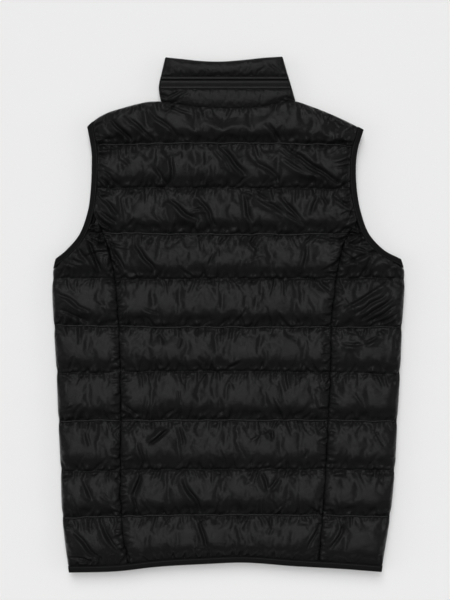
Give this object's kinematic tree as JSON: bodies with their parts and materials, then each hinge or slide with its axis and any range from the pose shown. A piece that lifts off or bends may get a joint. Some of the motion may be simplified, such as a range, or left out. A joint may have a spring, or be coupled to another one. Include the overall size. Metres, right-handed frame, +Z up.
{
  "type": "puffer vest",
  "caption": "Black quilted down vest with a stand-up collar, lying flat on its zipped fronts with its back up.",
  "frame": {"origin": "middle of the vest's bounding box, on the surface that its fronts lie on", "axes": "+Z up, out of the back of the vest; +Y towards the collar; +X towards the wearer's right side"},
  "size_m": [0.5252, 0.7686, 0.0371],
  "materials": {
    "shell_nylon": "semi-gloss woven nylon over down",
    "collar_nylon": "semi-gloss woven nylon",
    "binding_knit": "matte stretch binding",
    "zip_tape": "matte woven tape",
    "zip_plastic": "satin moulded teeth",
    "zip_metal": "black-coated die-cast metal"
  },
  "bodies": {
    "vest": {"back_panel": "shell_nylon", "side_panel_left": "shell_nylon", "side_panel_right": "shell_nylon", "front_left": "shell_nylon", "front_right": "shell_nylon", "collar_back": "collar_nylon", "collar_welt_upper": "collar_nylon", "collar_welt_lower": "collar_nylon", "collar_front_left": "collar_nylon", "collar_front_right": "collar_nylon", "armhole_binding_left": "binding_knit", "armhole_binding_right": "binding_knit", "hem_binding": "binding_knit", "zip_tape_left": "zip_tape", "zip_tape_right": "zip_tape", "zip_chain": "zip_plastic", "zip_box": "zip_plastic", "zip_slider": "zip_metal"},
    "pull_tab": {"zip_pull_tab": "zip_metal"}
  },
  "joints": [
    {"name": "pull_tab_hinge", "type": "hinge", "parent": "vest", "child": "pull_tab", "pos_m": [-0.00008, 0.31116, 0.0092], "axis": [1, 0, 0], "range_deg": [-14, 160]}
  ]
}
